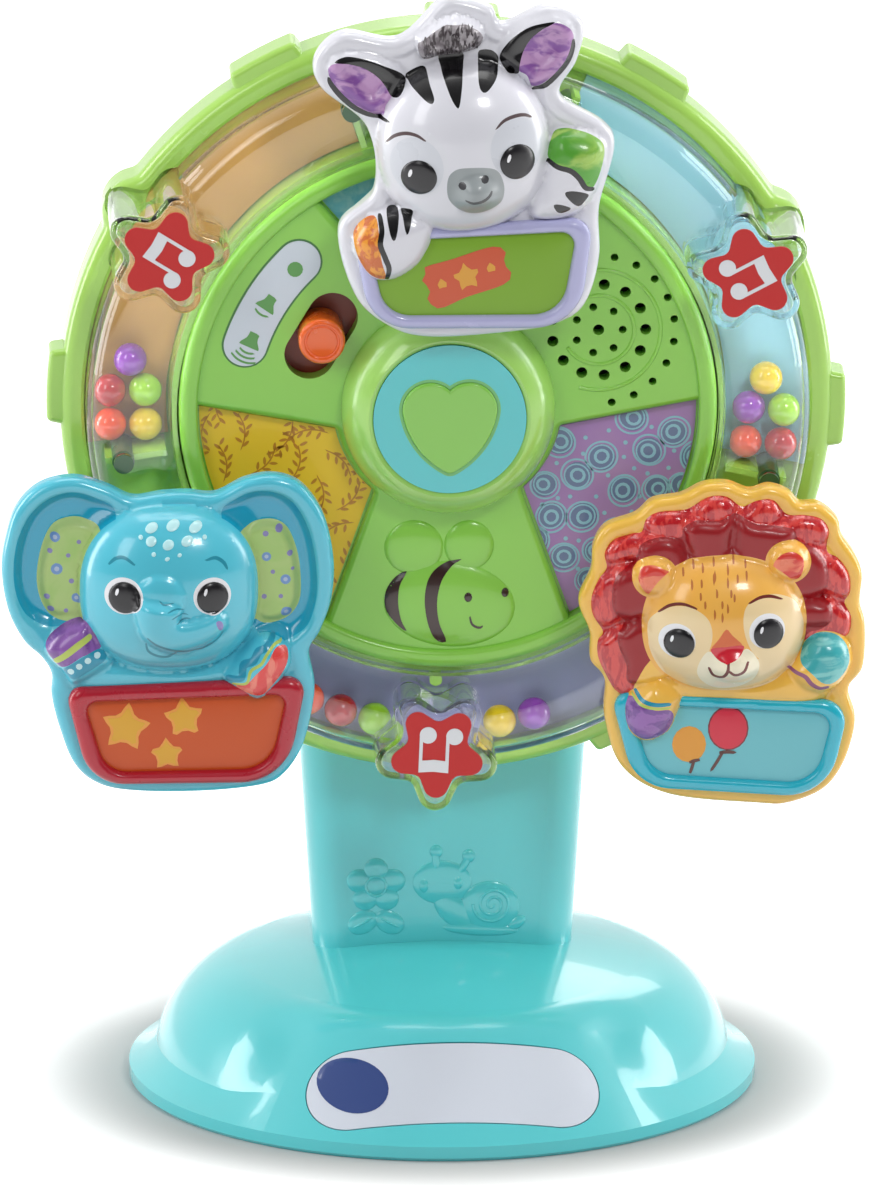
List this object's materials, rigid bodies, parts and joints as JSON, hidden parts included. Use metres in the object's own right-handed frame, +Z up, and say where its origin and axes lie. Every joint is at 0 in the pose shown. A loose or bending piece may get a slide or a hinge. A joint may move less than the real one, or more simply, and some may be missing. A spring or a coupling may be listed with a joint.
{
  "type": "baby ferris wheel toy",
  "caption": "Tabletop ferris wheel for a baby: a domed suction base and column carry a fixed pod with a heart button, and a spinning ring of beads with swinging animal gondolas.",
  "frame": {"origin": "middle of the round base on the table", "axes": "+Z up, -Y to the front, where the face of the wheel looks; +X to the right of someone who looks at the front"},
  "size_m": [0.2197, 0.1596, 0.2975],
  "materials": {
    "turquoise_shell": "glossy",
    "underside_plastic": "satin",
    "cup_rubber": "smooth",
    "white_plastic": "satin",
    "label_silver": "printed",
    "screw_steel": "satin",
    "cell_sleeve": "satin",
    "spring_steel": "bright",
    "bush_plastic": "satin",
    "panel_green": "glossy",
    "hub_green": "glossy",
    "hub_blue": "glossy",
    "heart_green": "glossy",
    "pad_rubber": "smooth",
    "lamp_plastic": "glossy",
    "board_green": "satin",
    "switch_brown": "satin",
    "knob_orange": "glossy",
    "speaker_black": "matte",
    "sky_print": "printed",
    "leaf_print": "printed",
    "ring_print": "printed",
    "volume_print": "printed",
    "rim_green": "glossy",
    "clear_plastic": "clear",
    "tray_tan": "printed",
    "tray_violet": "printed",
    "tray_turquoise": "printed",
    "star_red": "printed",
    "note_silver": "printed",
    "pin_plastic": "satin",
    "bead": "glossy",
    "zebra_white": "printed",
    "zebra_lavender": "glossy",
    "zebra_olive": "printed",
    "elephant_blue": "printed",
    "elephant_red": "glossy",
    "elephant_orange": "printed",
    "lion_yellow": "printed",
    "lion_cyan": "glossy",
    "lion_sky": "printed"
  },
  "bodies": {
    "stand": {"stand_front": "turquoise_shell", "stand_back": "turquoise_shell", "base_plate": "underside_plastic", "suction_cup": "cup_rubber", "cup_clip": "white_plastic", "label_plate": "label_silver", "stand_screws": "screw_steel", "battery_box": "underside_plastic", "battery_cells": "cell_sleeve", "battery_contacts": "spring_steel", "axle_tube": "white_plastic", "axle_nut": "white_plastic", "pod_back": "panel_green", "pod_screws": "screw_steel", "panel_front": "panel_green", "hub_bezel": "hub_green", "hub_disc": "hub_blue", "button_pad": "pad_rubber", "lamp": "lamp_plastic", "button_board": "board_green", "switch_body": "switch_brown", "speaker": "speaker_black", "circuit_board": "board_green", "sky_sheet": "sky_print", "leaf_sheet": "leaf_print", "ring_sheet": "ring_print", "volume_label": "volume_print"},
    "battery_door": {"battery_door": "turquoise_shell", "door_screw": "screw_steel"},
    "heart_button": {"heart_button": "heart_green"},
    "volume_knob": {"volume_knob": "knob_orange"},
    "wheel": {"wheel_bush": "bush_plastic", "wheel_rim": "rim_green", "wheel_cover": "rim_green", "ring_cover": "clear_plastic", "tray_tan": "tray_tan", "tray_violet": "tray_violet", "tray_turquoise": "tray_turquoise", "star_badges": "star_red", "note_marks": "note_silver", "ring_screws": "screw_steel", "gondola_pins": "pin_plastic"},
    "left_beads": {"beads_left": "bead"},
    "right_beads": {"beads_right": "bead"},
    "bottom_left_beads": {"beads_bottom_left": "bead"},
    "bottom_right_beads": {"beads_bottom_right": "bead"},
    "zebra": {"zebra_figure": "zebra_white", "zebra_back": "zebra_lavender", "zebra_basket": "zebra_lavender", "zebra_panel": "zebra_olive"},
    "elephant": {"elephant_figure": "elephant_blue", "elephant_back": "elephant_blue", "elephant_basket": "elephant_red", "elephant_panel": "elephant_orange"},
    "lion": {"lion_figure": "lion_yellow", "lion_back": "lion_yellow", "lion_basket": "lion_cyan", "lion_panel": "lion_sky"}
  },
  "joints": [
    {"name": "wheel_spin", "type": "hinge", "parent": "stand", "child": "wheel", "pos_m": [0, -0.017, 0.1855], "axis": [0, -1, 0], "continuous": true},
    {"name": "zebra_swing", "type": "hinge", "parent": "wheel", "child": "zebra", "pos_m": [0.00343, -0.05, 0.26743], "axis": [0, -1, 0], "continuous": true},
    {"name": "elephant_swing", "type": "hinge", "parent": "wheel", "child": "elephant", "pos_m": [-0.07267, -0.05, 0.14751], "axis": [0, -1, 0], "continuous": true},
    {"name": "lion_swing", "type": "hinge", "parent": "wheel", "child": "lion", "pos_m": [0.06924, -0.05, 0.14156], "axis": [0, -1, 0], "continuous": true},
    {"name": "left_beads_roll", "type": "hinge", "parent": "wheel", "child": "left_beads", "pos_m": [0, -0.0288, 0.1855], "axis": [0, -1, 0], "range_deg": [-12, 0]},
    {"name": "right_beads_roll", "type": "hinge", "parent": "wheel", "child": "right_beads", "pos_m": [0, -0.0288, 0.1855], "axis": [0, -1, 0], "range_deg": [0, 12]},
    {"name": "bottom_left_beads_roll", "type": "hinge", "parent": "wheel", "child": "bottom_left_beads", "pos_m": [0, -0.0288, 0.1855], "axis": [0, -1, 0], "range_deg": [-13.5, 0]},
    {"name": "bottom_right_beads_roll", "type": "hinge", "parent": "wheel", "child": "bottom_right_beads", "pos_m": [0, -0.0288, 0.1855], "axis": [0, -1, 0], "range_deg": [0, 18]},
    {"name": "heart_button_press", "type": "slide", "parent": "stand", "child": "heart_button", "axis": [0, 1, 0], "range_m": [0, 0.002], "stiffness_N_per_m": 400},
    {"name": "volume_slide", "type": "slide", "parent": "stand", "child": "volume_knob", "axis": [-0.515, 0, -0.8572], "range_m": [-0.005, 0.005]},
    {"name": "battery_door_lift", "type": "slide", "parent": "stand", "child": "battery_door", "axis": [0, 1, 0], "range_m": [0, 0.015]}
  ]
}
